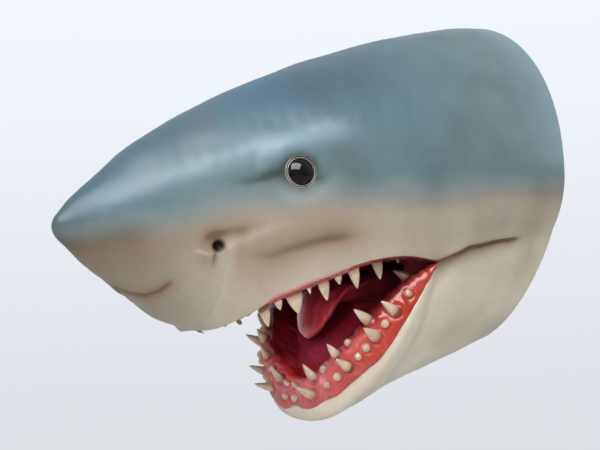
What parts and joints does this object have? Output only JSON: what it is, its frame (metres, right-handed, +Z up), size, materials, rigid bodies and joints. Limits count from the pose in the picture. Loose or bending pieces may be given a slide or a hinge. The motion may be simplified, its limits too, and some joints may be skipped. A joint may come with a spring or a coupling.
{
  "type": "wall-mounted shark head model",
  "caption": "Painted fibreglass head of a great white shark with its mouth wide open, toothed gums, a tongue and glass eyes, flat-backed to hang on a wall.",
  "frame": {"origin": "on the wall, in the middle of the neck's rim, at the back face of the board", "axes": "+Z up, +Y into the wall, so the head juts out along -Y, and +X is the shark's left"},
  "size_m": [0.496, 0.808, 0.6774],
  "materials": {
    "skin": "satin airbrushed paint on fibreglass, blue-grey above and cream-grey below",
    "gum": "wet gloss, red flesh with cream teeth",
    "tongue": "satin dull red",
    "eye": "polished black glass, opaque",
    "eye_ring": "satin grey paint",
    "plywood": "plain plywood",
    "steel": "zinc plated"
  },
  "bodies": {
    "root": {"snout": "skin", "head": "skin", "lower_jaw": "skin", "neck": "skin", "upper_gum": "gum", "lower_gum": "gum", "tongue": "tongue", "eye_left": "eye", "eye_right": "eye", "eye_ring_left": "eye_ring", "eye_ring_right": "eye_ring", "back_board": "plywood", "hanger_plate": "steel"}
  },
  "joints": []
}
